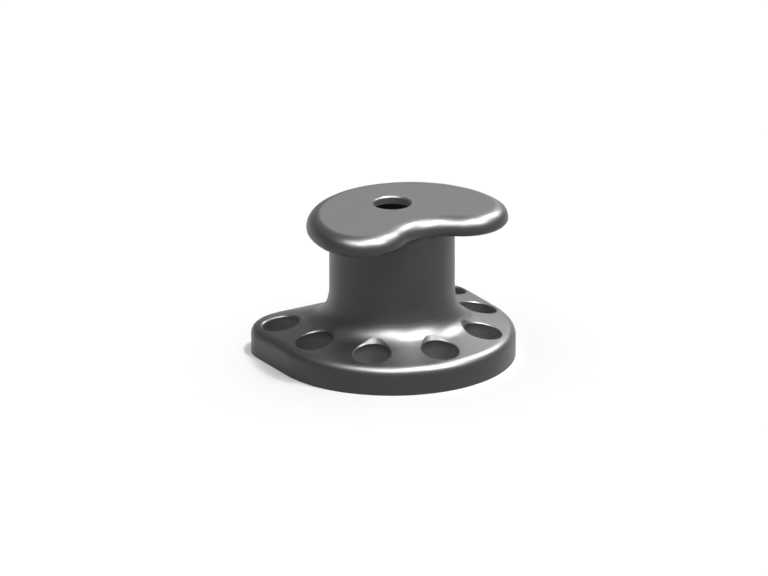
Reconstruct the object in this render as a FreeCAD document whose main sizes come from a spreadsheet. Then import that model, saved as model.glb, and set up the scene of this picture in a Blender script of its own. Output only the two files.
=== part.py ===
import FreeCAD, Part
import math
import os

import Sketcher

# Kidney bollard: a hollow one-piece casting on a D-shaped base, filled with concrete.
# Frame: millimetres, +Z up, origin on the column's axis in the plane of the base's underside.
# The notch of the kidney head and the round front of the base face -Y.

SIZES = (
    # base
    ("base_half_width", 318.0, "radius of the round front and half the width of the base"),
    ("base_back_reach", 251.0, "column axis to the straight back edge"),
    ("base_corner_radius", 106.0, "rounding of the two back corners in plan"),
    ("rim_height", 70.5, "height at which the side wall would meet the sloping top"),
    ("top_slope_angle", 12.5, "fall of the base's top from the column to the round front"),
    ("rim_rounding", 26.0, "rounding between the side wall and the sloping top"),
    # column
    ("total_height", 410.0, "underside to the flat top of the head"),
    ("column_radius", 161.5, "outside of the column"),
    ("column_wall", 35.0, "cast wall of the column"),
    ("seat_inset", 10.0, "how far the sloping top runs into the column"),
    ("foot_flare_start", 181.0, "height at which the column begins to widen"),
    ("foot_flare_radius", 133.0, "radius of the gentle upper part of the foot"),
    ("foot_flare_angle", 17.5, "lean of the foot below its gentle part"),
    ("foot_fillet", 69.0, "cove between the foot and the base's top"),
    # head
    ("head_thickness", 50.0, "thickness of the kidney head"),
    ("head_back_radius", 268.0, "radius of the head's broad back"),
    ("head_back_centre", 95.0, "centre of that radius, forward of the column axis"),
    ("head_lobe_radius", 117.5, "radius of the two lobes"),
    ("head_notch_radius", 127.0, "radius of the notch between the lobes"),
    ("head_notch_reach", 167.0, "column axis to the bottom of the notch"),
    ("head_top_rounding", 34.5, "rounding of the head's upper edge"),
    ("head_under_rounding", 15.0, "rounding of the head's lower edge"),
    ("neck_fillet", 8.0, "fillet where the head meets the column"),
    # crown hole and cavity
    ("crown_hole_radius", 48.5, "filling hole through the crown"),
    ("crown_wall", 20.0, "thickness of the crown over the cavity"),
    ("cavity_mouth_radius", 148.0, "cavity at the underside of the base"),
    ("cavity_top_bevel", 30.0, "bevel of the cavity's upper corner"),
    ("rim_bevel", 3.0, "small bevel of the hole and pocket rims"),
    # bolt pockets
    ("pocket_radius", 48.5, "anchor bolt pocket"),
    ("pocket_floor", 32.0, "thickness left under a pocket"),
    ("bolt_hole_radius", 24.0, "clearance hole for an M42 anchor bolt"),
    ("pocket_circle_radius", 244.0, "pitch radius of the front and side pockets"),
    ("pocket_step_angle", 42.5, "angle between neighbours on that circle"),
    ("rear_pocket_side", 247.5, "rear pockets, sideways from the axis"),
    ("rear_pocket_back", 142.0, "rear pockets, backwards from the axis"),
    # concrete core
    ("core_clearance", 0.3, "shrinkage gap between the concrete and the casting"),
    ("core_headroom", 85.0, "empty space between the concrete and the crown"),
)

# Pockets on the front circle to each side of the one at the notch.
SIDE_POCKETS = 2

# Lengths that follow from the sheet.
SEAT_RADIUS = "(Sizes.column_radius - Sizes.seat_inset)"
SEAT_HEIGHT = "Sizes.rim_height + (Sizes.base_half_width - %s) * tan(Sizes.top_slope_angle)" % SEAT_RADIUS
SIDE_RUN = "(Sizes.base_back_reach - Sizes.base_corner_radius)"
CORNER_RUN = "Sizes.base_corner_radius * pi / 2"
BACK_RUN = "(Sizes.base_half_width - Sizes.base_corner_radius)"
QUARTER_RUN = "(%s + %s + %s)" % (SIDE_RUN, CORNER_RUN, BACK_RUN)
UNDER_HEAD = "(Sizes.total_height - Sizes.head_thickness)"
CAVITY_RADIUS = "(Sizes.column_radius - Sizes.column_wall)"
CAVITY_TOP = "(Sizes.total_height - Sizes.crown_wall)"
POCKET_INSET = "(Sizes.base_half_width - Sizes.pocket_circle_radius)"
POCKET_BRIM = "Sizes.rim_height + %s * tan(Sizes.top_slope_angle)" % POCKET_INSET
BEVEL_REACH = "(3 * Sizes.rim_bevel)"

# Points nearer than this count as lying on the same plane, cylinder or cone.
TOUCH = 0.01

# Ends of a sketch edge, its centre, and the sketch's own origin and axes.
START, END, CENTRE = 1, 2, 3
ORIGIN = (-1, 1)
ACROSS, UPRIGHT = -1, -2


def make_sheet(doc):
    """Write the driving dimensions, one row each, with an alias for every value."""
    sheet = doc.addObject("Spreadsheet::Sheet", "Sizes")
    for row, (alias, value, meaning) in enumerate(SIZES, start=1):
        sheet.set("A%d" % row, meaning)
        sheet.set("B%d" % row, str(value))
        sheet.setAlias("B%d" % row, alias)
    doc.recompute()
    return sheet


def make_body(doc, label):
    """Add an empty body whose label becomes the name of its file."""
    body = doc.addObject("PartDesign::Body", label)
    body.Label = label
    return body


def origin_feature(body, role):
    """Find one of the body's own base planes or axes."""
    return next(item for item in body.Origin.OriginFeatures if item.Role == role)


def make_sketch(body, name, role, height="0"):
    """Add a sketch on a base plane, moved along the plane's normal by a formula."""
    sketch = body.newObject("Sketcher::SketchObject", name)
    sketch.AttachmentSupport = [(origin_feature(body, role), "")]
    sketch.MapMode = "FlatFace"
    sketch.setExpression("AttachmentOffset.Base.z", height)
    return sketch


def limit(sketch, kind, *picks):
    """Add a constraint without a size."""
    sketch.addConstraint(Sketcher.Constraint(kind, *picks))


def bind(sketch, name, formula, kind, *picks):
    """Add a dimension and tie it to the sheet by a formula."""
    value = float(sketch.evalExpression(formula))
    if kind == "Angle":
        value = math.radians(value)
    index = sketch.addConstraint(Sketcher.Constraint(kind, *picks, value))
    sketch.renameConstraint(index, name)
    sketch.setExpression("Constraints." + name, formula)


def chain(sketch, edges, kind="Coincident"):
    """Join each edge's end to the start of the next, and the last to the first."""
    for this, following in zip(edges, edges[1:] + edges[:1]):
        limit(sketch, kind, this, END, following, START)


def line(start, end):
    """Make a straight edge between two points."""
    return Part.LineSegment(FreeCAD.Vector(*start, 0), FreeCAD.Vector(*end, 0))


def circle(centre, radius):
    """Make a full circle."""
    return Part.Circle(FreeCAD.Vector(*centre, 0), FreeCAD.Vector(0, 0, 1), radius)


def arc(centre, radius, start_degrees, end_degrees):
    """Make an arc that runs counter-clockwise between two directions from its centre."""
    start, end = math.radians(start_degrees), math.radians(end_degrees)
    return Part.ArcOfCircle(circle(centre, radius), start, end)


def draw_front_section(sketch, sheet):
    """Draw the round front of the base in section: underside, side wall, sloping top and seat."""
    half_width, rim = sheet.base_half_width, sheet.rim_height
    seat, top = sheet.column_radius - sheet.seat_inset, sketch.evalExpression(SEAT_HEIGHT)
    corners = [(0, 0), (half_width, 0), (half_width, rim), (seat, top), (0, top)]
    edges = [sketch.addGeometry(line(a, b)) for a, b in zip(corners, corners[1:] + corners[:1])]
    floor, wall, _, roof, axis = edges
    chain(sketch, edges)
    limit(sketch, "Coincident", floor, START, *ORIGIN)
    limit(sketch, "Horizontal", floor)
    limit(sketch, "Horizontal", roof)
    limit(sketch, "Vertical", wall)
    limit(sketch, "Vertical", axis)
    bind(sketch, "half_width", "Sizes.base_half_width", "DistanceX", *ORIGIN, floor, END)
    bind(sketch, "rim", "Sizes.rim_height", "DistanceY", *ORIGIN, wall, END)
    bind(sketch, "seat", SEAT_RADIUS, "DistanceX", roof, END, roof, START)
    bind(sketch, "top", SEAT_HEIGHT, "DistanceY", *ORIGIN, roof, END)


def draw_back_outline(sketch, sheet):
    """Draw the back of the base in plan: straight sides, round corners and a straight back."""
    half_width, back = sheet.base_half_width, sheet.base_back_reach
    corner = sheet.base_corner_radius
    side_end, back_end = back - corner, half_width - corner
    right = sketch.addGeometry(line((half_width, 0), (half_width, side_end)))
    right_corner = sketch.addGeometry(arc((back_end, side_end), corner, 0, 90))
    rear = sketch.addGeometry(line((back_end, back), (-back_end, back)))
    left_corner = sketch.addGeometry(arc((-back_end, side_end), corner, 90, 180))
    left = sketch.addGeometry(line((-half_width, side_end), (-half_width, 0)))
    middle_line = sketch.addGeometry(line((-half_width, 0), (half_width, 0)))
    edges = [right, right_corner, rear, left_corner, left]
    for this, following in zip(edges, edges[1:]):
        limit(sketch, "Tangent", this, END, following, START)
    limit(sketch, "Coincident", left, END, middle_line, START)
    limit(sketch, "Coincident", middle_line, END, right, START)
    limit(sketch, "PointOnObject", left, END, ACROSS)
    limit(sketch, "PointOnObject", right, START, ACROSS)
    limit(sketch, "Horizontal", rear)
    limit(sketch, "Vertical", right)
    limit(sketch, "Vertical", left)
    limit(sketch, "Equal", right_corner, left_corner)
    bind(sketch, "half_width", "Sizes.base_half_width", "DistanceX", *ORIGIN, right, START)
    bind(sketch, "width", "2 * Sizes.base_half_width", "DistanceX", middle_line, START, middle_line, END)
    bind(sketch, "corner", "Sizes.base_corner_radius", "Radius", right_corner)
    bind(sketch, "back", "Sizes.base_back_reach", "DistanceY", *ORIGIN, rear, START)


def draw_back_seat(sketch, sheet):
    """Draw the half circle that the top rises to at the back, in arcs that face the outline's edges.

    Each quarter is shared out as the outline's own edges are, in proportion to their lengths,
    so that the sloping faces run smoothly into each other.
    """
    radius = sheet.column_radius - sheet.seat_inset
    side = 90 * sketch.evalExpression(SIDE_RUN + " / " + QUARTER_RUN)
    back = 90 - 90 * sketch.evalExpression(BACK_RUN + " / " + QUARTER_RUN)
    angles = [0, side, back, 180 - back, 180 - side, 180]
    arcs = [sketch.addGeometry(arc((0, 0), radius, a, b)) for a, b in zip(angles, angles[1:])]
    right, corner, rear, _, left = arcs
    middle_line = sketch.addGeometry(line((-radius, 0), (radius, 0)))
    chain(sketch, arcs + [middle_line])
    for this in arcs:
        limit(sketch, "Coincident", this, CENTRE, *ORIGIN)
    limit(sketch, "PointOnObject", right, START, ACROSS)
    limit(sketch, "PointOnObject", left, END, ACROSS)
    limit(sketch, "Horizontal", rear, START, rear, END)
    limit(sketch, "Horizontal", right, END, left, START)
    side_height = "%s * sin(90 * %s / %s)" % (SEAT_RADIUS, SIDE_RUN, QUARTER_RUN)
    back_width = "%s * sin(90 * %s / %s)" % (SEAT_RADIUS, BACK_RUN, QUARTER_RUN)
    bind(sketch, "seat", SEAT_RADIUS, "Radius", right)
    bind(sketch, "side_split", side_height, "DistanceY", *ORIGIN, right, END)
    bind(sketch, "back_split", back_width, "DistanceX", *ORIGIN, corner, END)


def draw_column(sketch, sheet):
    """Draw half the column's section: a straight wall, a gentle flare and a leaning foot."""
    radius, lean = sheet.column_radius, math.radians(sheet.foot_flare_angle)
    flare, start = sheet.foot_flare_radius, sheet.foot_flare_start
    bottom = sheet.rim_height / 2
    top = sheet.total_height - sheet.head_thickness / 2
    flare_end = (radius + flare * (1 - math.cos(lean)), start - flare * math.sin(lean))
    foot = (flare_end[0] + (flare_end[1] - bottom) * math.tan(lean), bottom)
    flare_arc = arc((radius + flare, start), flare, 180, 180 + sheet.foot_flare_angle)
    floor = sketch.addGeometry(line((0, bottom), foot))
    leaning = sketch.addGeometry(line(foot, flare_end))
    gentle = sketch.addGeometry(flare_arc)
    wall = sketch.addGeometry(line((radius, start), (radius, top)))
    roof = sketch.addGeometry(line((radius, top), (0, top)))
    axis = sketch.addGeometry(line((0, top), (0, bottom)))
    limit(sketch, "Tangent", leaning, END, gentle, END)
    limit(sketch, "Tangent", gentle, START, wall, START)
    limit(sketch, "Coincident", wall, END, roof, START)
    limit(sketch, "Coincident", roof, END, axis, START)
    limit(sketch, "Coincident", axis, END, floor, START)
    limit(sketch, "Coincident", floor, END, leaning, START)
    limit(sketch, "PointOnObject", axis, START, UPRIGHT)
    limit(sketch, "Horizontal", floor)
    limit(sketch, "Horizontal", roof)
    limit(sketch, "Vertical", wall)
    limit(sketch, "Vertical", axis)
    bind(sketch, "radius", "Sizes.column_radius", "DistanceX", roof, END, roof, START)
    bind(sketch, "flare_start", "Sizes.foot_flare_start", "DistanceY", *ORIGIN, wall, START)
    bind(sketch, "flare", "Sizes.foot_flare_radius", "Radius", gentle)
    bind(sketch, "lean", "Sizes.foot_flare_angle", "Angle", gentle)
    bind(sketch, "bottom", "Sizes.rim_height / 2", "DistanceY", *ORIGIN, floor, START)
    bind(sketch, "top", UNDER_HEAD + " + Sizes.head_thickness / 2", "DistanceY", *ORIGIN, axis, START)


def draw_head(sketch, sheet):
    """Draw the kidney: a broad back, two lobes and the notch, all arcs in tangency."""
    back, lobe, notch = sheet.head_back_radius, sheet.head_lobe_radius, sheet.head_notch_radius
    back_y, notch_y = -sheet.head_back_centre, -sheet.head_notch_reach - notch
    # The lobe's centre follows from its distances to the centres of the back and the notch.
    to_back, to_notch, apart = back - lobe, notch + lobe, back_y - notch_y
    along = (to_back ** 2 - to_notch ** 2 + apart ** 2) / (2 * apart)
    lobe_x, lobe_y = math.sqrt(to_back ** 2 - along ** 2), back_y - along
    back_angle = math.degrees(math.atan2(lobe_y - back_y, lobe_x))
    notch_angle = math.degrees(math.atan2(lobe_y - notch_y, lobe_x))
    broad = sketch.addGeometry(arc((0, back_y), back, back_angle, 180 - back_angle))
    left = sketch.addGeometry(arc((-lobe_x, lobe_y), lobe, 180 - back_angle, 360 - notch_angle))
    hollow = sketch.addGeometry(arc((0, notch_y), notch, notch_angle, 180 - notch_angle))
    right = sketch.addGeometry(arc((lobe_x, lobe_y), lobe, 180 + notch_angle, 360 + back_angle))
    limit(sketch, "Tangent", broad, END, left, START)
    limit(sketch, "Tangent", left, END, hollow, END)
    limit(sketch, "Tangent", hollow, START, right, START)
    limit(sketch, "Tangent", right, END, broad, START)
    limit(sketch, "PointOnObject", broad, CENTRE, UPRIGHT)
    limit(sketch, "PointOnObject", hollow, CENTRE, UPRIGHT)
    limit(sketch, "Equal", left, right)
    notch_centre = "Sizes.head_notch_reach + Sizes.head_notch_radius"
    bind(sketch, "back", "Sizes.head_back_radius", "Radius", broad)
    bind(sketch, "lobe", "Sizes.head_lobe_radius", "Radius", left)
    bind(sketch, "notch", "Sizes.head_notch_radius", "Radius", hollow)
    bind(sketch, "back_centre", "Sizes.head_back_centre", "DistanceY", broad, CENTRE, *ORIGIN)
    bind(sketch, "notch_centre", notch_centre, "DistanceY", hollow, CENTRE, *ORIGIN)


def draw_cavity(sketch, sheet):
    """Draw half the cavity's section: an open mouth, a taper, a wall and a bevelled corner."""
    mouth, top = sheet.cavity_mouth_radius, sheet.total_height - sheet.crown_wall
    inside, start = sheet.column_radius - sheet.column_wall, sheet.foot_flare_start
    bevel = sheet.cavity_top_bevel
    corners = [(0, 0), (mouth, 0), (inside, start), (inside, top - bevel), (inside - bevel, top), (0, top)]
    edges = [sketch.addGeometry(line(a, b)) for a, b in zip(corners, corners[1:] + corners[:1])]
    floor, _, wall, _, roof, axis = edges
    chain(sketch, edges)
    limit(sketch, "Coincident", floor, START, *ORIGIN)
    limit(sketch, "Horizontal", floor)
    limit(sketch, "Horizontal", roof)
    limit(sketch, "Vertical", wall)
    limit(sketch, "Vertical", axis)
    bind(sketch, "mouth", "Sizes.cavity_mouth_radius", "DistanceX", *ORIGIN, floor, END)
    bind(sketch, "inside", CAVITY_RADIUS, "DistanceX", *ORIGIN, wall, START)
    bind(sketch, "start", "Sizes.foot_flare_start", "DistanceY", *ORIGIN, wall, START)
    bind(sketch, "top", CAVITY_TOP, "DistanceY", *ORIGIN, roof, END)
    bind(sketch, "bevel_down", "Sizes.cavity_top_bevel", "DistanceY", wall, END, roof, START)
    bind(sketch, "bevel_in", "Sizes.cavity_top_bevel", "DistanceX", roof, START, wall, END)


def draw_core(sketch, sheet):
    """Draw half the concrete's section: the cavity less the shrinkage gap, up to a level top."""
    gap = sheet.core_clearance
    mouth, inside = sheet.cavity_mouth_radius - gap, sheet.column_radius - sheet.column_wall - gap
    start, top = sheet.foot_flare_start, sheet.total_height - sheet.crown_wall - sheet.core_headroom
    corners = [(0, 0), (mouth, 0), (inside, start), (inside, top), (0, top)]
    edges = [sketch.addGeometry(line(a, b)) for a, b in zip(corners, corners[1:] + corners[:1])]
    floor, _, wall, roof, axis = edges
    chain(sketch, edges)
    limit(sketch, "Coincident", floor, START, *ORIGIN)
    limit(sketch, "Horizontal", floor)
    limit(sketch, "Horizontal", roof)
    limit(sketch, "Vertical", wall)
    limit(sketch, "Vertical", axis)
    core_mouth = "Sizes.cavity_mouth_radius - Sizes.core_clearance"
    bind(sketch, "mouth", core_mouth, "DistanceX", *ORIGIN, floor, END)
    bind(sketch, "inside", CAVITY_RADIUS + " - Sizes.core_clearance", "DistanceX", *ORIGIN, wall, START)
    bind(sketch, "start", "Sizes.foot_flare_start", "DistanceY", *ORIGIN, wall, START)
    bind(sketch, "top", CAVITY_TOP + " - Sizes.core_headroom", "DistanceY", *ORIGIN, roof, END)


def draw_rim_bevel(sketch, sheet):
    """Draw the bevel of the front pocket's rim in section, about an axis square to the sloping top.

    A triangle hangs over the rim: its long edge is the bevel, and its other two edges lie clear
    of the metal, above the top and inside the pocket.
    """
    slope = math.radians(sheet.top_slope_angle)
    reach, radius = sketch.evalExpression(BEVEL_REACH), sheet.pocket_radius + sheet.rim_bevel
    centre, brim = -sheet.pocket_circle_radius, sketch.evalExpression(POCKET_BRIM)

    def placed(along, out):
        """Place a point by its distance along the slope and square out of it."""
        across = centre + along * math.cos(slope) - out * math.sin(slope)
        return across, brim + along * math.sin(slope) + out * math.cos(slope)

    inner, outer = placed(radius - reach, reach), placed(radius + reach, reach)
    under = placed(radius - reach, -reach)
    axis = sketch.addGeometry(line(placed(0, 0), placed(0, reach)), True)
    top = sketch.addGeometry(line(inner, outer))
    bevel = sketch.addGeometry(line(outer, under))
    side = sketch.addGeometry(line(under, inner))
    chain(sketch, [top, bevel, side])
    limit(sketch, "Perpendicular", top, axis)
    limit(sketch, "Parallel", side, axis)
    limit(sketch, "Equal", top, side)
    limit(sketch, "PointOnObject", axis, END, top)
    lean_out = BEVEL_REACH + " * sin(Sizes.top_slope_angle)"
    lean_up = BEVEL_REACH + " * cos(Sizes.top_slope_angle)"
    inner_radius = "Sizes.pocket_radius + Sizes.rim_bevel - " + BEVEL_REACH
    bind(sketch, "centre", "Sizes.pocket_circle_radius", "DistanceX", axis, START, *ORIGIN)
    bind(sketch, "brim", POCKET_BRIM, "DistanceY", *ORIGIN, axis, START)
    bind(sketch, "lean_out", lean_out, "DistanceX", axis, END, axis, START)
    bind(sketch, "lean_up", lean_up, "DistanceY", axis, START, axis, END)
    bind(sketch, "size", "2 * " + BEVEL_REACH, "Distance", top, START, top, END)
    bind(sketch, "inner", inner_radius, "Distance", axis, END, top, START)


def draw_centred_circle(sketch, radius):
    """Draw a circle about the column's axis."""
    number = sketch.addGeometry(circle((0, 0), sketch.evalExpression(radius)))
    limit(sketch, "Coincident", number, CENTRE, *ORIGIN)
    bind(sketch, "radius", radius, "Radius", number)


def draw_placed_circle(sketch, radius, side, forward):
    """Draw a circle that lies to one side of the axis and forward of it, by formulas."""
    centre = (sketch.evalExpression(side), -sketch.evalExpression(forward))
    number = sketch.addGeometry(circle(centre, sketch.evalExpression(radius)))
    bind(sketch, "radius", radius, "Radius", number)
    bind(sketch, "side", side, "DistanceX", *ORIGIN, number, CENTRE)
    bind(sketch, "forward", forward, "DistanceY", number, CENTRE, *ORIGIN)


def add_pad(body, name, sketch, length):
    """Raise a sketch into a solid."""
    pad = body.newObject("PartDesign::Pad", name)
    pad.Profile = sketch
    pad.setExpression("Length", length)
    body.Document.recompute()
    return pad


def add_turned(body, kind, name, sketch, axis="V_Axis"):
    """Turn a section once round an axis of its sketch, to add (Revolution) or to cut (Groove)."""
    turned = body.newObject("PartDesign::" + kind, name)
    turned.Profile = sketch
    turned.ReferenceAxis = (sketch, [axis])
    turned.Angle = 360
    body.Document.recompute()
    return turned


def add_cut(body, name, sketch, length):
    """Cut a sketch upwards, and make sure that it removed something."""
    before = body.Shape.Volume
    cut = body.newObject("PartDesign::Pocket", name)
    cut.Profile = sketch
    cut.Reversed = True
    cut.setExpression("Length", length)
    body.Document.recompute()
    if body.Shape.Volume >= before:
        raise RuntimeError(name + " cuts nothing")
    return cut


def pick_edges(base, wanted):
    """List the names of a feature's edges that a test picks out."""
    return ["Edge%d" % number for number, edge in enumerate(base.Shape.Edges, start=1) if wanted(edge)]


def dress(body, kind, name, base, wanted, formula):
    """Fillet or chamfer the edges that a test picks out, at a size from the sheet."""
    edges = pick_edges(base, wanted)
    if not edges:
        raise RuntimeError(name + " has no edges to work on")
    dressed = body.newObject("PartDesign::" + kind, name)
    dressed.Base = (base, edges)
    dressed.setExpression({"Fillet": "Radius", "Chamfer": "Size"}[kind], formula)
    body.Document.recompute()
    return dressed


def middle(edge):
    """Find the point halfway along an edge."""
    return edge.valueAt((edge.FirstParameter + edge.LastParameter) / 2)


def at_height(height):
    """Make a test for edges in the level plane at a height."""

    def wanted(edge):
        box = edge.BoundBox
        return abs(box.ZMin - height) < TOUCH and abs(box.ZMax - height) < TOUCH

    return wanted


def around(centre, radius, low, high):
    """Make a test for edges that run round an upright cylinder between two heights."""

    def wanted(edge):
        point, box = middle(edge), edge.BoundBox
        off = math.hypot(point.x - centre[0], point.y - centre[1]) - radius
        runs_round = max(box.XLength, box.YLength) > TOUCH
        return abs(off) < TOUCH and low < box.ZMin and box.ZMax < high and runs_round

    return wanted


def round_the_foot(sheet):
    """Make a test for the edges where the column's leaning foot meets the sloping top."""
    lean, flare = math.radians(sheet.foot_flare_angle), sheet.foot_flare_radius
    cone_radius = sheet.column_radius + flare * (1 - math.cos(lean))
    cone_height = sheet.foot_flare_start - flare * math.sin(lean)

    def wanted(edge):
        point, box = middle(edge), edge.BoundBox
        on_cone = cone_radius + (cone_height - point.z) * math.tan(lean)
        between = sheet.rim_height < box.ZMin and box.ZMax < cone_height - TOUCH
        return between and abs(math.hypot(point.x, point.y) - on_cone) < TOUCH

    return wanted


def rear_rims(sheet):
    """Make a test for the upper rims of the two rear pockets."""
    centres = [(side * sheet.rear_pocket_side, sheet.rear_pocket_back) for side in (-1, 1)]
    low, high = sheet.pocket_floor + TOUCH, sheet.foot_flare_start
    tests = [around(centre, sheet.pocket_radius, low, high) for centre in centres]
    return lambda edge: any(test(edge) for test in tests)


def build_head(body, sheet):
    """Pad the kidney and round both its edges, so that the lip is full round."""
    outline = make_sketch(body, "kidney_outline", "XY_Plane", UNDER_HEAD)
    draw_head(outline, sheet)
    head = add_pad(body, "head", outline, "Sizes.head_thickness")
    top = at_height(sheet.total_height)
    rounded = dress(body, "Fillet", "head_top_round", head, top, "Sizes.head_top_rounding")
    under = at_height(sheet.total_height - sheet.head_thickness)
    dress(body, "Fillet", "head_under_round", rounded, under, "Sizes.head_under_rounding")


def build_column(body, sheet):
    """Turn the column up into the head and round the corner between them."""
    section = make_sketch(body, "column_section", "YZ_Plane")
    draw_column(section, sheet)
    column = add_turned(body, "Revolution", "column", section)
    height, band = sheet.total_height - sheet.head_thickness, sheet.head_under_rounding
    neck = around((0, 0), sheet.column_radius, height - band, height + band)
    dress(body, "Fillet", "neck", column, neck, "Sizes.neck_fillet")


def build_base(body, sheet):
    """Turn the round front of the base, then pad the back and loft its top to the column."""
    section = make_sketch(body, "front_section", "XZ_Plane")
    draw_front_section(section, sheet)
    front = add_turned(body, "Revolution", "round_front", section)
    front.Angle = 180
    front.Reversed = True
    back = make_sketch(body, "back_outline", "XY_Plane")
    draw_back_outline(back, sheet)
    add_pad(body, "back_flange", back, "Sizes.rim_height")
    rim = make_sketch(body, "back_rim", "XY_Plane", "Sizes.rim_height")
    draw_back_outline(rim, sheet)
    seat = make_sketch(body, "back_seat", "XY_Plane", SEAT_HEIGHT)
    draw_back_seat(seat, sheet)
    slope = body.newObject("PartDesign::AdditiveLoft", "back_slope")
    slope.Profile = rim
    slope.Sections = [(seat, [""])]
    slope.Ruled = True
    body.Document.recompute()
    cove = dress(body, "Fillet", "foot_cove", slope, round_the_foot(sheet), "Sizes.foot_fillet")
    dress(body, "Fillet", "rim_round", cove, at_height(sheet.rim_height), "Sizes.rim_rounding")


def build_cavity(body, sheet):
    """Hollow the column from below, and open the crown above the hollow."""
    section = make_sketch(body, "cavity_section", "XZ_Plane")
    draw_cavity(section, sheet)
    add_turned(body, "Groove", "cavity", section)
    crown = make_sketch(body, "crown_circle", "XY_Plane", CAVITY_TOP)
    draw_centred_circle(crown, "Sizes.crown_hole_radius")
    hole = add_cut(body, "crown_hole", crown, "Sizes.crown_wall")
    low, high = sheet.total_height - TOUCH, sheet.total_height + TOUCH
    rim = around((0, 0), sheet.crown_hole_radius, low, high)
    dress(body, "Chamfer", "crown_rim", hole, rim, "Sizes.rim_bevel")


def cut_pocket(body, name, side, forward):
    """Cut one bolt pocket down to its floor, and the anchor hole through the floor."""
    mouth = make_sketch(body, name + "_pocket_circle", "XY_Plane", "Sizes.pocket_floor")
    draw_placed_circle(mouth, "Sizes.pocket_radius", side, forward)
    hole = make_sketch(body, name + "_anchor_circle", "XY_Plane")
    draw_placed_circle(hole, "Sizes.bolt_hole_radius", side, forward)
    return [
        add_cut(body, name + "_pocket", mouth, "Sizes.foot_flare_start"),
        add_cut(body, name + "_anchor_hole", hole, "Sizes.foot_flare_start"),
    ]


def repeat_to_side(body, name, originals, reverse):
    """Repeat the front pocket about the column's axis, to one side."""
    pattern = body.newObject("PartDesign::PolarPattern", name)
    pattern.Originals = originals
    pattern.Axis = (origin_feature(body, "Z_Axis"), [""])
    pattern.Reversed = reverse
    pattern.setExpression("Angle", "%d * Sizes.pocket_step_angle" % SIDE_POCKETS)
    pattern.Occurrences = SIDE_POCKETS + 1
    body.Tip = pattern
    body.Document.recompute()


def build_pockets(body, sheet):
    """Cut the front pocket with its bevel and a rear one, repeat both, and bevel the rear rims."""
    front = cut_pocket(body, "front", "0", "Sizes.pocket_circle_radius")
    bevel = make_sketch(body, "front_rim_bevel", "YZ_Plane")
    draw_rim_bevel(bevel, sheet)
    front.append(add_turned(body, "Groove", "front_rim", bevel, "Axis0"))
    rear = cut_pocket(body, "rear", "Sizes.rear_pocket_side", "-Sizes.rear_pocket_back")
    repeat_to_side(body, "right_pockets", front, False)
    repeat_to_side(body, "left_pockets", front, True)
    mirrored = body.newObject("PartDesign::Mirrored", "rear_pockets")
    mirrored.Originals = rear
    mirrored.MirrorPlane = (origin_feature(body, "YZ_Plane"), [""])
    body.Tip = mirrored
    body.Document.recompute()
    dress(body, "Chamfer", "rear_rims", mirrored, rear_rims(sheet), "Sizes.rim_bevel")


def build_casting(doc, sheet):
    """Build the bollard itself: head, column, base, cavity and bolt pockets in one casting."""
    body = make_body(doc, "bollard_casting")
    build_head(body, sheet)
    build_column(body, sheet)
    build_base(body, sheet)
    build_cavity(body, sheet)
    build_pockets(body, sheet)
    return body


def build_core(doc, sheet):
    """Build the concrete that fills the casting up to some way below its crown."""
    body = make_body(doc, "concrete_core")
    section = make_sketch(body, "core_section", "XZ_Plane")
    draw_core(section, sheet)
    add_turned(body, "Revolution", "fill", section)
    return body


def check_document(doc, parts):
    """Stop if any object failed, or if any part isn't one valid solid."""
    doc.recompute()
    for item in doc.Objects:
        if "Invalid" in item.State or "Error" in item.State:
            raise RuntimeError("%s is %s" % (item.Name, item.State))
    for part in parts:
        shape = part.Shape
        if shape.isNull() or not shape.isValid() or len(shape.Solids) != 1:
            raise RuntimeError(part.Label + " is not one valid solid")


def main():
    doc = FreeCAD.newDocument("kidney_bollard")
    sheet = make_sheet(doc)
    parts = [build_casting(doc, sheet), build_core(doc, sheet)]
    check_document(doc, parts)
    os.makedirs("parts", exist_ok=True)
    for part in parts:
        part.Shape.exportStep("parts/%s.step" % part.Label)
        print("%s: volume %.0f cubic millimetres" % (part.Label, part.Shape.Volume))


if __name__ == "__main__":
    main()
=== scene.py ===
"""Looks of a kidney bollard: a coated iron casting with its concrete fill, on a white studio floor."""

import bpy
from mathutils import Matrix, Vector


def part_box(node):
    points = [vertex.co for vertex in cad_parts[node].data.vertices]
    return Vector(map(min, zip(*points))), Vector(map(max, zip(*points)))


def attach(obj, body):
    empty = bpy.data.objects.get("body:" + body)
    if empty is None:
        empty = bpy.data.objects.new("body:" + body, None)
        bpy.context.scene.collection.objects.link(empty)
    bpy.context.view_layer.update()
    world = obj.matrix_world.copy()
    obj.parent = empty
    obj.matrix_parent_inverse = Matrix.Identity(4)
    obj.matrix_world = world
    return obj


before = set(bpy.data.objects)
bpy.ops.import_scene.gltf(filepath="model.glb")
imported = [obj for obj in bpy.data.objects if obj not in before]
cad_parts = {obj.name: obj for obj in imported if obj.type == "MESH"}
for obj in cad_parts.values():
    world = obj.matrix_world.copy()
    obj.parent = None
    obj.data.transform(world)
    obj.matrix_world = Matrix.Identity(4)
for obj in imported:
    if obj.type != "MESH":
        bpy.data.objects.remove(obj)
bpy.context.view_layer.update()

import logging
import math
from dataclasses import dataclass, field
from enum import Enum
from typing import Any

import bpy
from mathutils import Vector

log = logging.getLogger("kidney_bollard")

MM = 0.001

# a Mix node's numbers for the colours that it takes and gives, and for the plain values that it takes
UNDER_COLOUR, OVER_COLOUR, MIXED_COLOUR = 6, 7, 2
UNDER_VALUE, OVER_VALUE = 2, 3


def linear(hex_colour: str) -> tuple[float, float, float, float]:
    """Turn an sRGB hex colour into linear RGBA, by the curve of the sRGB standard.

    Args:
        hex_colour: Six hex digits after a hash sign.

    Returns:
        The colour with an alpha of one.
    """
    channels = [int(hex_colour[i : i + 2], 16) / 255 for i in (1, 3, 5)]
    return (*[c / 12.92 if c <= 0.04045 else ((c + 0.055) / 1.055) ** 2.4 for c in channels], 1.0)


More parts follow.
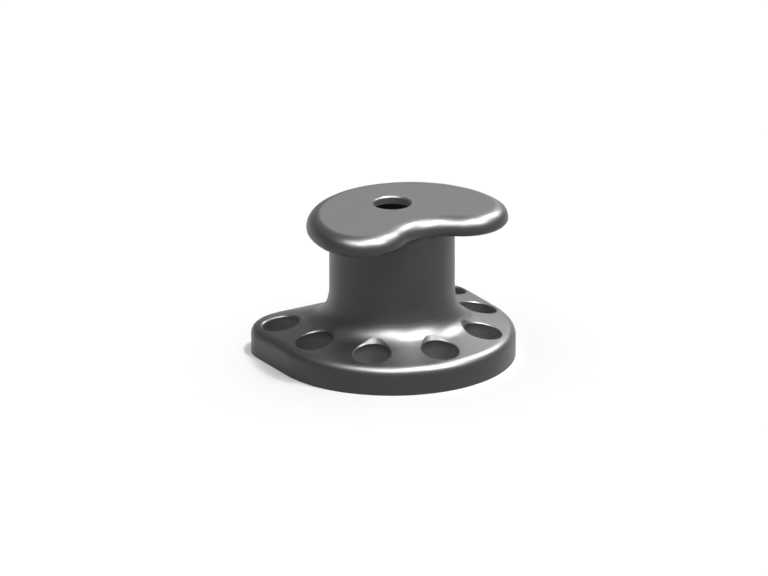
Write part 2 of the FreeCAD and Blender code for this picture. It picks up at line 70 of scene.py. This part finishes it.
def add_node(
    tree: bpy.types.NodeTree,
    kind: str,
    settings: dict[str, Any] | None = None,
    inputs: dict[str | int, Any] | None = None,
) -> bpy.types.Node:
    """Add one node with its settings, and set or link its inputs.

    Args:
        tree: The tree that gets the node.
        kind: Blender's name for the kind of node.
        settings: Attributes of the node itself.
        inputs: For each input's name or number, a value or the output socket that feeds it.

    Returns:
        The new node.
    """
    node = tree.nodes.new(kind)
    for name, value in (settings or {}).items():
        setattr(node, name, value)
    for name, value in (inputs or {}).items():
        socket = node.inputs[name]
        if isinstance(value, bpy.types.NodeSocket):
            tree.links.new(value, socket)
        else:
            socket.default_value = value
    return node


def new_material(name: str) -> tuple[bpy.types.Material, bpy.types.NodeTree]:
    """Start a material with an empty tree.

    Args:
        name: The real material and how its surface was made.

    Returns:
        The material and its tree.
    """
    material = bpy.data.materials.new(name)
    material.use_nodes = True
    material.node_tree.nodes.clear()
    return material, material.node_tree


def per_metre(size_mm: float) -> float:
    """Give the scale of a pattern whose features are so many millimetres across."""
    return 1.0 / (size_mm * MM)


@dataclass(frozen=True)
class Relief:
    """A fine relief in a surface.

    Its features are so wide and so deep, and detail says how many finer octaves lie over them.
    """

    width_mm: float
    depth_mm: float
    detail: float


@dataclass(frozen=True)
class CoatedCasting:
    """Sand-cast iron under a dark satin marine coating.

    The coat fills the grain of the moulding sand, so the eye gets an even, nearly black skin with a
    soft sheen. Light breaks up a little on what is left of the grain and on the slow waviness of a
    The coat is thinner, paler and smoother over its edges, and painted paler in its recesses, as painted
    light.
    """

    name: str = "satin_coated_sand_cast_iron"
    coat_deep: str = "#171718"
    coat: str = "#1f1f20"
    coat_thin: str = "#4b4b4c"
    # painted light: the paler grey of the coat inside the pockets and the crown hole
    coat_painted_light: str = "#6c6c6e"
    ior: float = 1.5
    roughness: tuple[float, float] = (0.36, 0.4)
    edge_roughness: float = 0.3
    mottle_mm: float = 85.0
    mottle_detail: float = 4.0
    waviness: Relief = Relief(width_mm=45.0, depth_mm=0.02, detail=1.0)
    # sand grain under a coat is about 0.3 mm, and is drawn five times as coarse so that it shows
    grain: Relief = Relief(width_mm=1.6, depth_mm=0.012, detail=2.0)
    edge_radius_mm: float = 2.5
    edge_samples: int = 6
    # how far two normals differ, as one less their dot product, where the coat starts and ends thinning
    edge_range: tuple[float, float] = (0.015, 0.12)
    edge_patch_mm: float = 18.0
    edge_patch_detail: float = 3.0
    # the pockets' axes in metres, on the right side alone, because the left side mirrors it
    pocket_centres: tuple[tuple[float, float], ...] = (
        (0.0, -0.244),
        (0.164844, -0.179895),
        (0.243071, -0.021266),
        (0.2475, 0.142),
    )
    # the pockets and the crown hole are equally wide
    recess_radius_mm: float = 48.5
    recess_fade_mm: float = 1.5
    # the painted light in the pockets fades out between these heights, so that only their lower walls and
    # floors are painted paler
    painted_light_heights_mm: tuple[float, float] = (70.0, 95.0)

    def build(self) -> bpy.types.Material:
        """Make the material.

        Returns:
            The material, whose patterns read the object's own coordinates.
        """
        material, tree = new_material(self.name)
        place = add_node(tree, "ShaderNodeTexCoord").outputs["Object"]
        mottle = add_node(
            tree,
            "ShaderNodeTexNoise",
            inputs={"Vector": place, "Scale": per_metre(self.mottle_mm), "Detail": self.mottle_detail},
        ).outputs[0]
        worn = self.worn_edges(tree, place)
        # painted light: the insides of the pockets and the crown hole are painted paler
        painted_light = self.recesses(tree, place)
        colour: Any = linear(self.coat_deep)
        for mask, paint in ((mottle, self.coat), (worn, self.coat_thin), (painted_light, self.coat_painted_light)):
            layer = add_node(
                tree,
                "ShaderNodeMix",
                {"data_type": "RGBA"},
                {"Factor": mask, UNDER_COLOUR: colour, OVER_COLOUR: linear(paint)},
            )
            colour = layer.outputs[MIXED_COLOUR]
        low, high = self.roughness
        gloss = add_node(tree, "ShaderNodeMapRange", inputs={"Value": mottle, "To Min": low, "To Max": high})
        rubbed = add_node(
            tree,
            "ShaderNodeMix",
            {"data_type": "FLOAT"},
            {"Factor": worn, UNDER_VALUE: gloss.outputs[0], OVER_VALUE: self.edge_roughness},
        )
        below: dict[str | int, Any] = {}
        for relief in (self.waviness, self.grain):
            pattern = add_node(
                tree,
                "ShaderNodeTexNoise",
                inputs={"Vector": place, "Scale": per_metre(relief.width_mm), "Detail": relief.detail},
            )
            raised = add_node(
                tree,
                "ShaderNodeBump",
                inputs={"Height": pattern.outputs[0], "Distance": relief.depth_mm * MM, **below},
            )
            below = {"Normal": raised.outputs[0]}
        shader = add_node(
            tree,
            "ShaderNodeBsdfPrincipled",
            inputs={"Base Color": colour, "Roughness": rubbed.outputs[0], "IOR": self.ior, **below},
        )
        add_node(tree, "ShaderNodeOutputMaterial", inputs={"Surface": shader.outputs[0]})
        return material

    def worn_edges(self, tree: bpy.types.NodeTree, place: bpy.types.NodeSocket) -> bpy.types.NodeSocket:
        """Find the edges, where a coat is thin, and break them into patches.

        Args:
            tree: The material's tree.
            place: The object's coordinates.

        Returns:
            How thin the coat is, from zero to one.
        """
        softened = add_node(
            tree, "ShaderNodeBevel", {"samples": self.edge_samples}, {"Radius": self.edge_radius_mm * MM}
        )
        true_normal = add_node(tree, "ShaderNodeNewGeometry").outputs["Normal"]
        likeness = add_node(
            tree,
            "ShaderNodeVectorMath",
            {"operation": "DOT_PRODUCT"},
            {0: softened.outputs[0], 1: true_normal},
        ).outputs["Value"]
        start, end = self.edge_range
        edge = add_node(
            tree,
            "ShaderNodeMapRange",
            inputs={"Value": likeness, "From Min": 1.0 - start, "From Max": 1.0 - end},
        ).outputs[0]
        patches = add_node(
            tree,
            "ShaderNodeTexNoise",
            inputs={
                "Vector": place,
                "Scale": per_metre(self.edge_patch_mm),
                "Detail": self.edge_patch_detail,
            },
        ).outputs[0]
        return add_node(tree, "ShaderNodeMath", {"operation": "MULTIPLY"}, {0: edge, 1: patches}).outputs[0]

    def recesses(self, tree: bpy.types.NodeTree, place: bpy.types.NodeSocket) -> bpy.types.NodeSocket:
        """Find the insides of the pockets and of the crown hole, left and right alike, where painted light
        makes the coat paler.

        Args:
            tree: The material's tree.
            place: The object's coordinates.

        Returns:
            One inside a recess and zero elsewhere.
        """
        parts = add_node(tree, "ShaderNodeSeparateXYZ", inputs={0: place}).outputs
        mirrored = add_node(tree, "ShaderNodeMath", {"operation": "ABSOLUTE"}, {0: parts["X"]}).outputs[0]
        flat = add_node(tree, "ShaderNodeCombineXYZ", inputs={"X": mirrored, "Y": parts["Y"]}).outputs[0]
        low, high = (height * MM for height in self.painted_light_heights_mm)
        deep = add_node(
            tree, "ShaderNodeMapRange", inputs={"Value": parts["Z"], "From Min": high, "From Max": low}
        ).outputs[0]
        found = self.near(tree, flat, (0.0, 0.0))
        for centre in self.pocket_centres:
            inside = self.near(tree, flat, centre)
            pocket = add_node(
                tree, "ShaderNodeMath", {"operation": "MULTIPLY"}, {0: inside, 1: deep}
            ).outputs[0]
            found = add_node(
                tree, "ShaderNodeMath", {"operation": "MAXIMUM"}, {0: found, 1: pocket}
            ).outputs[0]
        return found

    def near(
        self, tree: bpy.types.NodeTree, flat: bpy.types.NodeSocket, centre: tuple[float, float]
    ) -> bpy.types.NodeSocket:
        """Find what lies inside a recess round an upright axis.

        Args:
            tree: The material's tree.
            flat: The coordinates with their height left out.
            centre: Where the axis stands.

        Returns:
            One up to the recess's wall and zero beyond it.
        """
        away = add_node(
            tree, "ShaderNodeVectorMath", {"operation": "DISTANCE"}, {0: flat, 1: (*centre, 0.0)}
        ).outputs["Value"]
        wall, fade = self.recess_radius_mm * MM, self.recess_fade_mm * MM
        inputs = {"Value": away, "From Min": wall + fade, "From Max": wall}
        return add_node(tree, "ShaderNodeMapRange", inputs=inputs).outputs[0]


@dataclass(frozen=True)
class PouredConcrete:
    """Concrete poured through the crown hole and left to level itself.

    The eye gets a matt, sandy grey with darker damp clouds, the pale grains of its sand, the outlines
    of pebbles under a skin of cement and small pits where air was caught.
    """

    name: str = "poured_grey_concrete"
    paste_damp: str = "#77746e"
    paste: str = "#8f8c86"
    sand: str = "#b5b0a6"
    pebble: str = "#6f6a63"
    ior: float = 1.5
    roughness: float = 0.88
    cloud_mm: float = 60.0
    sand_mm: float = 1.5
    sand_depth_mm: float = 0.15
    pebble_mm: float = 11.0
    pit_mm: float = 14.0
    pit_depth_mm: float = 1.2
    # where each pattern starts and ends showing: only the highest grains are pale, and a pebble and a
    # pit lie in the middle of a cell
    sand_range: tuple[float, float] = (0.56, 0.7)
    pebble_range: tuple[float, float] = (0.55, 0.3)
    pit_range: tuple[float, float] = (0.08, 0.2)
    # how much of a pebble's colour comes through the skin of cement
    pebble_share: float = 0.35

    def build(self) -> bpy.types.Material:
        """Make the material.

        Returns:
            The material, whose patterns read the object's own coordinates.
        """
        material, tree = new_material(self.name)
        place = add_node(tree, "ShaderNodeTexCoord").outputs["Object"]
        clouds, grains, pebbles, pits = (
            add_node(tree, kind, inputs={"Vector": place, "Scale": per_metre(size_mm)}).outputs[0]
            for kind, size_mm in (
                ("ShaderNodeTexNoise", self.cloud_mm),
                ("ShaderNodeTexNoise", self.sand_mm),
                ("ShaderNodeTexVoronoi", self.pebble_mm),
                ("ShaderNodeTexVoronoi", self.pit_mm),
            )
        )
        pale, covered, solid = (
            add_node(
                tree,
                "ShaderNodeMapRange",
                inputs={"Value": pattern, "From Min": start, "From Max": end, "To Max": most},
            ).outputs[0]
            for pattern, (start, end), most in (
                (grains, self.sand_range, 1.0),
                (pebbles, self.pebble_range, self.pebble_share),
                (pits, self.pit_range, 1.0),
            )
        )
        colour: Any = linear(self.paste_damp)
        for mask, grey in ((clouds, self.paste), (pale, self.sand), (covered, self.pebble)):
            layer = add_node(
                tree,
                "ShaderNodeMix",
                {"data_type": "RGBA"},
                {"Factor": mask, UNDER_COLOUR: colour, OVER_COLOUR: linear(grey)},
            )
            colour = layer.outputs[MIXED_COLOUR]
        below: dict[str | int, Any] = {}
        for height, depth_mm in ((solid, self.pit_depth_mm), (grains, self.sand_depth_mm)):
            raised = add_node(
                tree, "ShaderNodeBump", inputs={"Height": height, "Distance": depth_mm * MM, **below}
            )
            below = {"Normal": raised.outputs[0]}
        shader = add_node(
            tree,
            "ShaderNodeBsdfPrincipled",
            inputs={"Base Color": colour, "Roughness": self.roughness, "IOR": self.ior, **below},
        )
        add_node(tree, "ShaderNodeOutputMaterial", inputs={"Surface": shader.outputs[0]})
        return material


@dataclass(frozen=True)
class StudioPaper:
    """Wide matt white paper, which gives an even ground with the object's soft shadow on it."""

    name: str = "matt_white_studio_paper"
    fleck: str = "#f1f1f1"
    white: str = "#f4f4f4"
    roughness: float = 1.0
    specular: float = 0.0
    fleck_mm: float = 400.0

    def build(self) -> bpy.types.Material:
        """Make the material.

        Returns:
            The material, which has no gloss.
        """
        material, tree = new_material(self.name)
        place = add_node(tree, "ShaderNodeTexCoord").outputs["Object"]
        flecks = add_node(
            tree, "ShaderNodeTexNoise", inputs={"Vector": place, "Scale": per_metre(self.fleck_mm)}
        )
        colour = add_node(
            tree,
            "ShaderNodeMix",
            {"data_type": "RGBA"},
            {
                "Factor": flecks.outputs[0],
                UNDER_COLOUR: linear(self.fleck),
                OVER_COLOUR: linear(self.white),
            },
        )
        shader = add_node(
            tree,
            "ShaderNodeBsdfPrincipled",
            inputs={
                "Base Color": colour.outputs[MIXED_COLOUR],
                "Roughness": self.roughness,
                "Specular IOR Level": self.specular,
            },
        )
        add_node(tree, "ShaderNodeOutputMaterial", inputs={"Surface": shader.outputs[0]})
        return material


@dataclass(frozen=True)
class PhotoView:
    """The camera that fits the photograph, which is seen from so far off that it is nearly parallel."""

    azimuth: float = math.radians(-30.42)
    elevation: float = math.radians(20.143)
    distance: float = 60.0
    clip: tuple[float, float] = (1.0, 200.0)
    frame_width: int = 768
    frame_height: int = 576
    # a pixel's width at the object, and the pixel where the column's axis meets the floor
    pixel: float = 2.570 * MM
    axis_foot_across: float = 392.0
    axis_foot_down: float = 352.705
    sensor_mm: float = 36.0

    def back(self) -> Vector:
        """Give the direction from the object to the camera."""
        a, e = self.azimuth, self.elevation
        return Vector((math.sin(a) * math.cos(e), -math.cos(a) * math.cos(e), math.sin(e)))

    def build(self) -> bpy.types.Object:
        """Make the camera and set it as the scene's.

        Returns:
            The camera.
        """
        back = self.back()
        turn = (-back).to_track_quat("-Z", "Y")
        right, up = turn @ Vector((1, 0, 0)), turn @ Vector((0, 1, 0))
        across = (self.frame_width / 2 - self.axis_foot_across) * self.pixel
        upward = (self.axis_foot_down - self.frame_height / 2) * self.pixel
        target = right * across + up * upward
        data = bpy.data.cameras.new("photo_camera")
        data.sensor_width = self.sensor_mm
        data.lens = self.sensor_mm * self.distance / (self.frame_width * self.pixel)
        data.clip_start, data.clip_end = self.clip
        camera = bpy.data.objects.new("photo_camera", data)
        camera.location = target + back * self.distance
        camera.rotation_mode = "QUATERNION"
        camera.rotation_quaternion = turn
        bpy.context.scene.collection.objects.link(camera)
        bpy.context.scene.camera = camera
        return camera


class Lights(Enum):
    """What a lamp does to the object."""

    LEVEL_AND_SHEEN = "level_and_sheen"
    SHEEN_ONLY = "sheen_only"


@dataclass(frozen=True)
class Lamp:
    """A round softbox, so far away that it counts as parallel light.

    How far it stands round to the right of the camera, how high it stands and how wide it looks are
    in degrees. A lamp for the sheen alone is seen by glossy rays only, so it puts the photograph's
    highlights on the coat and leaves the level at which colours render as it is.
    """

    name: str
    round_right: float
    height: float
    width: float
    strength: float
    lights: Lights

    def build(self, view: PhotoView) -> bpy.types.Object:
        """Make the lamp.

        Args:
            view: The camera from which its direction is counted.

        Returns:
            The lamp.
        """
        turn, rise = math.radians(self.round_right), math.radians(self.height)
        toward = Vector((math.sin(view.azimuth), -math.cos(view.azimuth), 0))
        right = Vector((math.cos(view.azimuth), math.sin(view.azimuth), 0))
        level = toward * math.cos(turn) + right * math.sin(turn)
        direction = level * math.cos(rise) + Vector((0, 0, math.sin(rise)))
        data = bpy.data.lights.new(self.name, "SUN")
        data.angle = math.radians(self.width)
        data.energy = self.strength
        lamp = bpy.data.objects.new(self.name, data)
        lamp.rotation_mode = "QUATERNION"
        lamp.rotation_quaternion = direction.to_track_quat("Z", "Y")
        lamp.visible_diffuse = self.lights is Lights.LEVEL_AND_SHEEN
        bpy.context.scene.collection.objects.link(lamp)
        return lamp


@dataclass
class Studio:
    """The white floor, the pale surroundings and the lamps."""

    floor_half: float = 40.0
    # a little below the base, so that the two faces never meet
    floor_level: float = -0.5 * MM
    # the sine of a height above the horizon, and how bright the surroundings are there
    dome: tuple[tuple[float, float], ...] = ((0.05, 1.0), (0.09, 0.4), (0.5, 0.45), (0.92, 1.0))
    dome_strength: float = 1.0
    paper: StudioPaper = field(default_factory=StudioPaper)
    lamps: tuple[Lamp, ...] = (
        Lamp("key_light", 68.0, 69.0, 6.0, 1.5, Lights.LEVEL_AND_SHEEN),
        Lamp("key_sheen", 68.0, 69.0, 8.0, 8.0, Lights.SHEEN_ONLY),
        Lamp("right_softbox", 62.0, 53.0, 28.0, 11.0, Lights.SHEEN_ONLY),
        Lamp("front_softbox", 0.0, 56.0, 28.0, 8.5, Lights.SHEEN_ONLY),
        Lamp("left_softbox", -42.0, 64.0, 24.0, 3.5, Lights.SHEEN_ONLY),
        Lamp("side_softbox", 132.0, 46.0, 30.0, 8.0, Lights.SHEEN_ONLY),
        Lamp("rear_softbox", 170.0, 27.0, 24.0, 0.4, Lights.SHEEN_ONLY),
    )

    def build(self, view: PhotoView) -> None:
        """Make everything that isn't the object.

        Args:
            view: The camera from which the lamps are placed.
        """
        self.build_floor()
        self.build_surroundings()
        for lamp in self.lamps:
            lamp.build(view)
            log.info("lamp %s", lamp.name)

    def build_floor(self) -> bpy.types.Object:
        """Make the floor.

        Returns:
            The floor, which is stage and no part of the object.
        """
        half, level = self.floor_half, self.floor_level
        corners = [(-half, -half, level), (half, -half, level), (half, half, level), (-half, half, level)]
        mesh = bpy.data.meshes.new("floor")
        mesh.from_pydata(corners, [], [(0, 1, 2, 3)])
        floor = bpy.data.objects.new("floor", mesh)
        bpy.context.scene.collection.objects.link(floor)
        mesh.materials.append(self.paper.build())
        return floor

    def build_surroundings(self) -> None:
        """Make a dome that is white at the horizon, dimmer above it and white again overhead."""
        world = bpy.data.worlds.new("studio")
        bpy.context.scene.world = world
        world.use_nodes = True
        tree = world.node_tree
        tree.nodes.clear()
        direction = add_node(tree, "ShaderNodeTexCoord").outputs["Generated"]
        height = add_node(tree, "ShaderNodeSeparateXYZ", inputs={0: direction}).outputs["Z"]
        ramp = add_node(tree, "ShaderNodeValToRGB", inputs={"Fac": height})
        stops = ramp.color_ramp.elements
        # a ramp starts with a stop at each end
        for place, _ in self.dome[1:-1]:
            stops.new(place)
        for stop, (place, grey) in zip(stops, self.dome):
            stop.position = place
            stop.color = (grey, grey, grey, 1.0)
        background = add_node(
            tree, "ShaderNodeBackground", inputs={"Color": ramp.outputs[0], "Strength": self.dome_strength}
        )
        add_node(tree, "ShaderNodeOutputWorld", inputs={"Surface": background.outputs[0]})


def dress(name: str, finish: bpy.types.Material) -> bpy.types.Object:
    """Give a CAD node its finish and leave its shape alone.

    Args:
        name: The node's name.
        finish: The material for all its slots.

    Returns:
        The node's object.
    """
    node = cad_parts[name]
    for slot in node.material_slots:
        slot.material = finish
    return node


@dataclass
class BollardCasting:
    """The casting: its shape is the CAD's, and its finish is the coat."""

    node: str = "bollard_casting"
    finish: CoatedCasting = field(default_factory=CoatedCasting)

    def build(self) -> list[bpy.types.Object]:
        """Coat the casting."""
        return [dress(self.node, self.finish.build())]


@dataclass
class ConcreteFill:
    """The concrete: the CAD's core, and the rough skin that its poured top set with."""

    node: str = "concrete_core"
    finish: PouredConcrete = field(default_factory=PouredConcrete)
    skin_name: str = "poured_top"
    skin_radius: float = 125.0 * MM
    skin_depth: float = 5.0 * MM
    skin_proud: float = 1.0 * MM
    skin_sides: int = 96
    skin_rings: int = 40
    ripple: float = 28.0 * MM
    ripple_detail: float = 6.0
    ripple_roughness: float = 0.6
    # the noise spans about half its range, so the ripples come out about half as high as this
    relief: float = 1.6 * MM
    noise_middle: float = 0.5
    pebble: float = 3.4 * MM
    pebble_spacing: float = 11.0 * MM
    # how many there would be to a square metre if they could lie nearer than the spacing
    pebble_density: float = 3500.0
    pebble_subdivisions: int = 2
    # the least and the most that a pebble is turned, in radians, and stretched, on each axis
    pebble_turns: tuple[tuple[float, ...], ...] = ((-0.3, -0.3, 0.0), (0.3, 0.3, math.tau))
    pebble_stretches: tuple[tuple[float, ...], ...] = ((0.5, 0.35, 0.12), (1.5, 1.0, 0.42))
    seed: int = 7

    def build(self) -> list[bpy.types.Object]:
        """Finish the core and lay the skin on its top.

        Returns:
            The core and the skin.
        """
        concrete = self.finish.build()
        core = dress(self.node, concrete)
        core_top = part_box(self.node)[1][2]
        skin = self.pour(concrete, core_top)
        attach(skin, "root")
        return [core, skin]

    def pour(self, concrete: bpy.types.Material, core_top: float) -> bpy.types.Object:
        """Grow the skin with Geometry Nodes and turn it into a plain mesh.

        Args:
            concrete: The skin's material.
            core_top: The height of the core's flat top.

        Returns:
            The skin as a mesh with its place in it.
        """
        tree = self.skin_tree(concrete)
        start = bpy.data.meshes.new("poured_top_start")
        carrier = bpy.data.objects.new("poured_top_carrier", start)
        bpy.context.scene.collection.objects.link(carrier)
        modifier = carrier.modifiers.new("pour", "NODES")
        modifier.node_group = tree
        values = {
            "Radius": self.skin_radius,
            "Depth": self.skin_depth,
            "Level": core_top + self.skin_proud - self.skin_depth / 2,
            "Ripple": self.ripple,
            "Relief": self.relief,
            "Pebble": self.pebble,
            "Spacing": self.pebble_spacing,
            "Density": self.pebble_density,
            "Seed": self.seed,
        }
        for item in tree.interface.items_tree:
            if item.item_type == "SOCKET" and item.in_out == "INPUT":
                modifier[item.identifier] = values[item.name]
        ready = carrier.evaluated_get(bpy.context.evaluated_depsgraph_get())
        mesh = bpy.data.meshes.new_from_object(ready)
        mesh.name = self.skin_name
        bpy.data.objects.remove(carrier)
        bpy.data.meshes.remove(start)
        skin = bpy.data.objects.new(self.skin_name, mesh)
        bpy.context.scene.collection.objects.link(skin)
        return skin

    def skin_tree(self, concrete: bpy.types.Material) -> bpy.types.NodeTree:
        """Build the tree: a disc, its ripples, and pebbles that stand a little out of it.

        Args:
            concrete: The material that the tree sets.

        Returns:
            The tree, with its sizes as named inputs.
        """
        tree = bpy.data.node_groups.new("poured_top", "GeometryNodeTree")
        face = tree.interface
        face.new_socket("Geometry", in_out="OUTPUT", socket_type="NodeSocketGeometry")
        for name in ("Radius", "Depth", "Level", "Ripple", "Relief", "Pebble", "Spacing", "Density"):
            face.new_socket(name, in_out="INPUT", socket_type="NodeSocketFloat")
        face.new_socket("Seed", in_out="INPUT", socket_type="NodeSocketInt")
        given = add_node(tree, "NodeGroupInput").outputs
        disc = add_node(
            tree,
            "GeometryNodeMeshCylinder",
            {"fill_type": "TRIANGLE_FAN"},
            {
                "Vertices": self.skin_sides,
                "Side Segments": 1,
                "Fill Segments": self.skin_rings,
                "Radius": given["Radius"],
                "Depth": given["Depth"],
            },
        )
        scale = add_node(tree, "ShaderNodeMath", {"operation": "DIVIDE"}, {0: 1.0, 1: given["Ripple"]})
        ripples = add_node(
            tree,
            "ShaderNodeTexNoise",
            inputs={
                "Scale": scale.outputs[0],
                "Detail": self.ripple_detail,
                "Roughness": self.ripple_roughness,
            },
        )
        centred = add_node(
            tree,
            "ShaderNodeMath",
            {"operation": "SUBTRACT"},
            {0: ripples.outputs[0], 1: self.noise_middle},
        )
        height = add_node(
            tree, "ShaderNodeMath", {"operation": "MULTIPLY"}, {0: centred.outputs[0], 1: given["Relief"]}
        )
        lift = add_node(tree, "ShaderNodeCombineXYZ", inputs={"Z": height.outputs[0]})
        rippled = add_node(
            tree,
            "GeometryNodeSetPosition",
            inputs={
                "Geometry": disc.outputs["Mesh"],
                "Selection": disc.outputs["Top"],
                "Offset": lift.outputs[0],
            },
        )
        spots = add_node(
            tree,
            "GeometryNodeDistributePointsOnFaces",
            {"distribute_method": "POISSON"},
            {
                "Mesh": rippled.outputs[0],
                "Selection": disc.outputs["Top"],
                "Distance Min": given["Spacing"],
                "Density Max": given["Density"],
                "Seed": given["Seed"],
            },
        )
        stone = add_node(
            tree,
            "GeometryNodeMeshIcoSphere",
            inputs={"Radius": given["Pebble"], "Subdivisions": self.pebble_subdivisions},
        )
        turn, stretch = (
            add_node(
                tree,
                "FunctionNodeRandomValue",
                {"data_type": "FLOAT_VECTOR"},
                {0: least, 1: most, "Seed": given["Seed"]},
            ).outputs[0]
            for least, most in (self.pebble_turns, self.pebble_stretches)
        )
        pebbles = add_node(
            tree,
            "GeometryNodeInstanceOnPoints",
            inputs={
                "Points": spots.outputs["Points"],
                "Instance": stone.outputs["Mesh"],
                "Rotation": turn,
                "Scale": stretch,
            },
        )
        both = add_node(tree, "GeometryNodeJoinGeometry")
        for piece in (pebbles, rippled):
            tree.links.new(piece.outputs[0], both.inputs[0])
        place = add_node(tree, "ShaderNodeCombineXYZ", inputs={"Z": given["Level"]})
        lifted = add_node(
            tree,
            "GeometryNodeTransform",
            inputs={"Geometry": both.outputs[0], "Translation": place.outputs[0]},
        )
        real = add_node(tree, "GeometryNodeRealizeInstances", inputs={0: lifted.outputs[0]})
        coloured = add_node(
            tree, "GeometryNodeSetMaterial", inputs={"Geometry": real.outputs[0], "Material": concrete}
        )
        add_node(tree, "NodeGroupOutput", inputs={"Geometry": coloured.outputs[0]})
        return tree


def main() -> None:
    """Build the view, the studio and the object."""
    logging.basicConfig(level=logging.INFO, format="%(name)s: %(message)s")
    bpy.context.scene.view_settings.view_transform = "Standard"
    view = PhotoView()
    view.build()
    Studio().build(view)
    for part in (BollardCasting(), ConcreteFill()):
        for piece in part.build():
            log.info("piece %s with %d faces", piece.name, len(piece.data.polygons))


if __name__ == "__main__":
    main()
